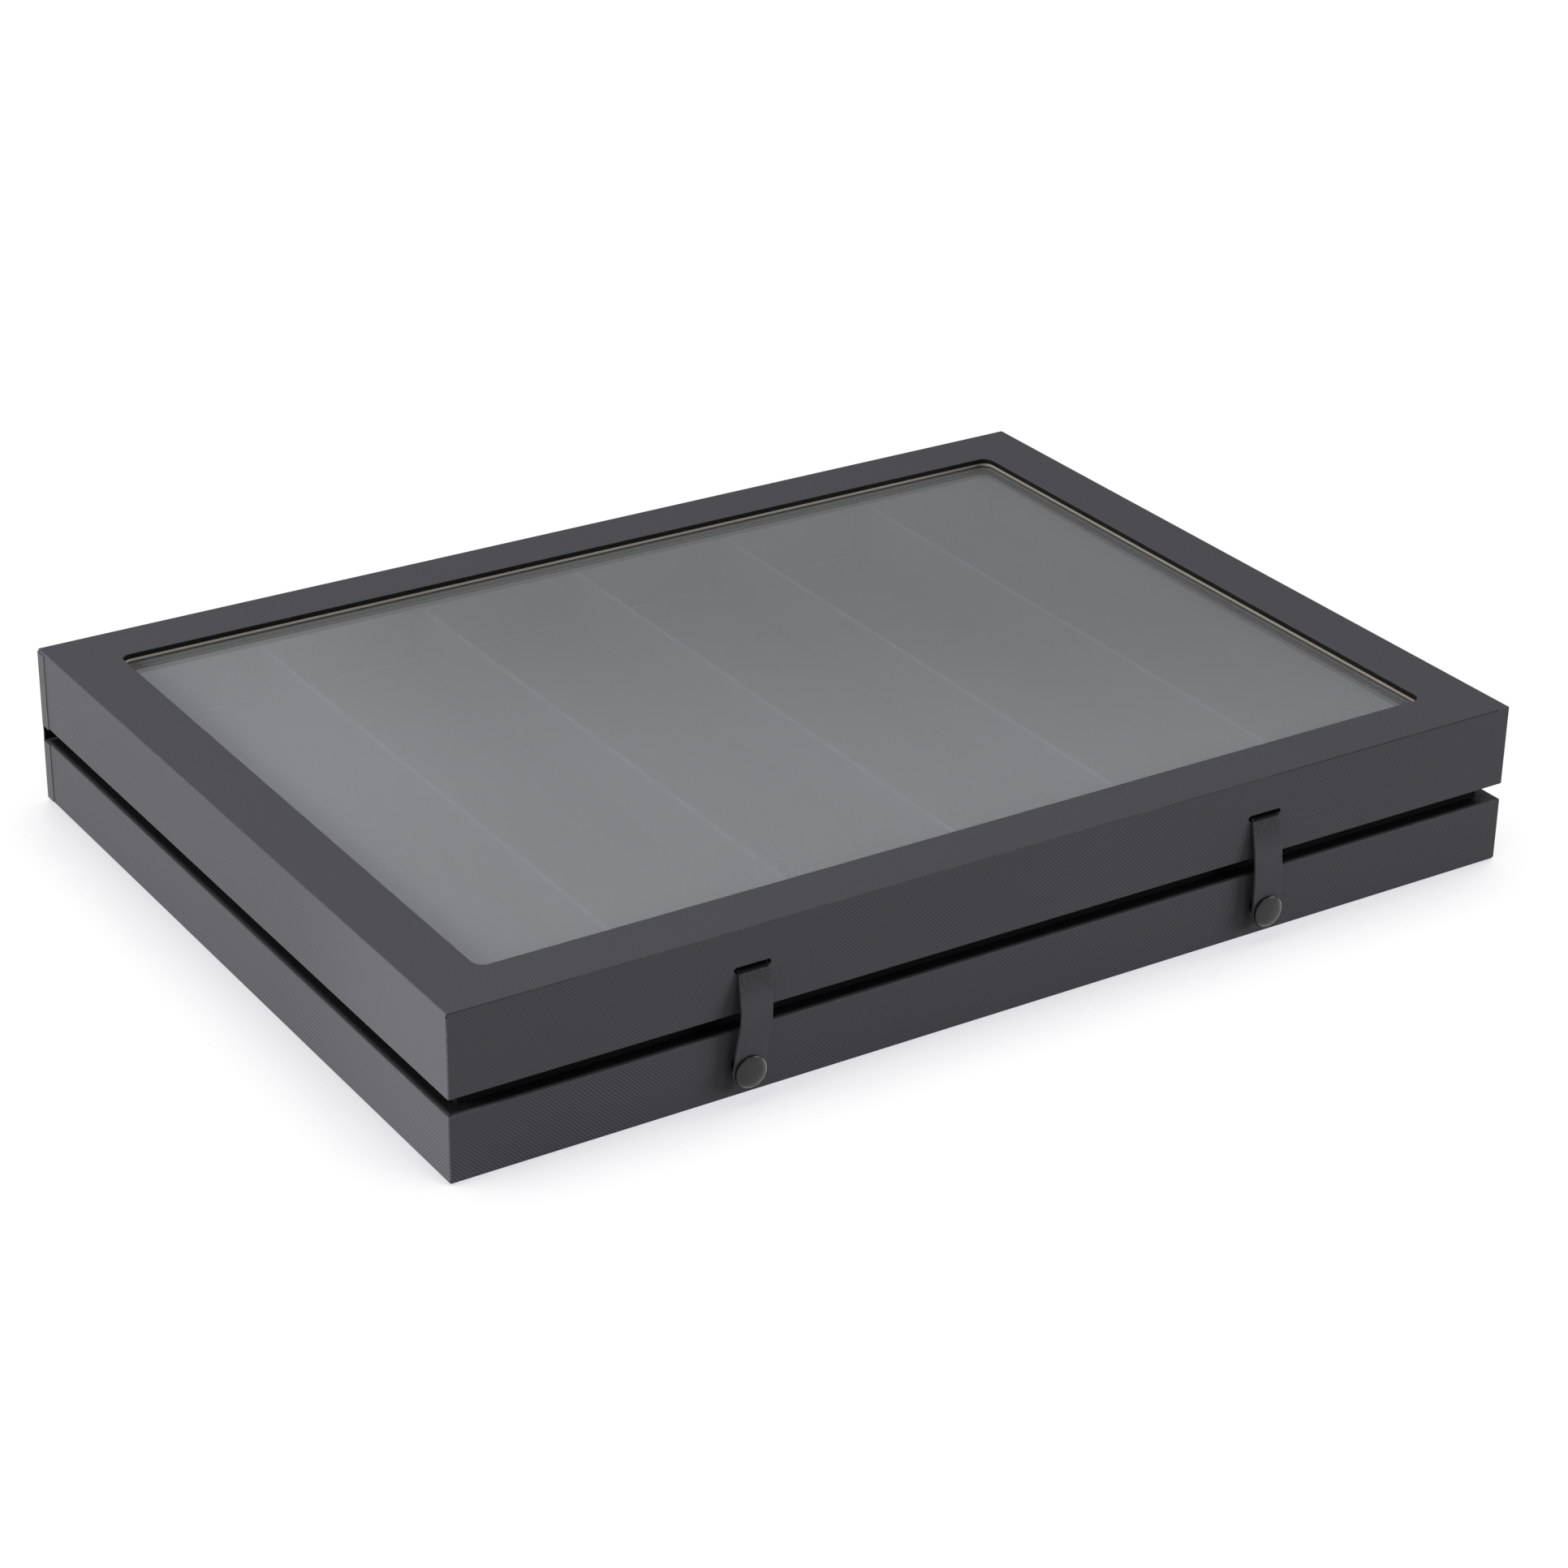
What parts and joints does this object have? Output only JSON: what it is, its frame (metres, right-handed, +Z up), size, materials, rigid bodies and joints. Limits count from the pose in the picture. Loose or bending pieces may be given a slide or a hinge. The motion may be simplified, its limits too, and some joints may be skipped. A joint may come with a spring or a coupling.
{
  "type": "glass display case",
  "caption": "Flat cloth-covered display case with a hinged glass lid, a compartment tray and snap straps at the front.",
  "frame": {"origin": "centre of the underside, on the surface the case stands on", "axes": "+X along the width to the right, -Y to the front with the straps, +Z up"},
  "size_m": [0.3506, 0.261, 0.05],
  "materials": {
    "cover_cloth": "matte",
    "neck_cloth": "matte",
    "hinge_cloth": "matte",
    "tray_lining": "matte",
    "underside_paper": "matte",
    "greyboard": "matte",
    "pad_card": "matte",
    "cream_card": "matte",
    "pane_glass": "polished",
    "strap_leather": "satin",
    "gunmetal": "gloss",
    "snap_steel": "satin"
  },
  "bodies": {
    "base": {"underside_sheet": "underside_paper", "base_bottom_board": "greyboard", "base_front_wall": "greyboard", "base_rear_wall": "greyboard", "base_left_wall": "greyboard", "base_right_wall": "greyboard", "base_wrap": "cover_cloth", "neck_front": "neck_cloth", "neck_rear": "neck_cloth", "neck_left": "neck_cloth", "neck_right": "neck_cloth", "floor_pad": "pad_card", "tray_floor": "tray_lining", "tray_front_wall": "tray_lining", "tray_rear_wall": "tray_lining", "tray_left_wall": "tray_lining", "tray_right_wall": "tray_lining", "divider_1": "tray_lining", "divider_2": "tray_lining", "divider_3": "tray_lining", "divider_4": "tray_lining", "divider_5": "tray_lining", "snap_stud_left": "snap_steel", "snap_stud_right": "snap_steel", "snap_post_left": "snap_steel", "snap_post_right": "snap_steel", "hinge_leaf_base": "hinge_cloth", "hinge_fold": "hinge_cloth"},
    "lid": {"lid_top_board": "greyboard", "lid_front_wall": "greyboard", "lid_front_liner": "greyboard", "lid_rear_wall": "greyboard", "lid_left_wall": "greyboard", "lid_right_wall": "greyboard", "lid_wrap": "cover_cloth", "glass_spacer": "cream_card", "glass_pane": "pane_glass", "glass_stop_front": "neck_cloth", "glass_stop_rear": "neck_cloth", "glass_stop_left": "neck_cloth", "glass_stop_right": "neck_cloth", "strap_tail_left": "strap_leather", "strap_tail_right": "strap_leather", "hinge_leaf_lid": "hinge_cloth"},
    "left_strap": {"strap_left": "strap_leather", "snap_cap_left": "gunmetal", "snap_socket_left": "snap_steel"},
    "right_strap": {"strap_right": "strap_leather", "snap_cap_right": "gunmetal", "snap_socket_right": "snap_steel"}
  },
  "joints": [
    {"name": "lid_hinge", "type": "hinge", "parent": "base", "child": "lid", "pos_m": [0, 0.12765, 0.0225], "axis": [-1, 0, 0], "range_deg": [0, 140], "deforming": ["hinge_fold"]},
    {"name": "left_strap_swing", "type": "hinge", "parent": "lid", "child": "left_strap", "pos_m": [-0.085, -0.1281, 0.038], "axis": [-1, 0, 0], "range_deg": [-2.1, 150]},
    {"name": "right_strap_swing", "type": "hinge", "parent": "lid", "child": "right_strap", "pos_m": [0.085, -0.1281, 0.038], "axis": [-1, 0, 0], "range_deg": [-2.1, 150]}
  ]
}
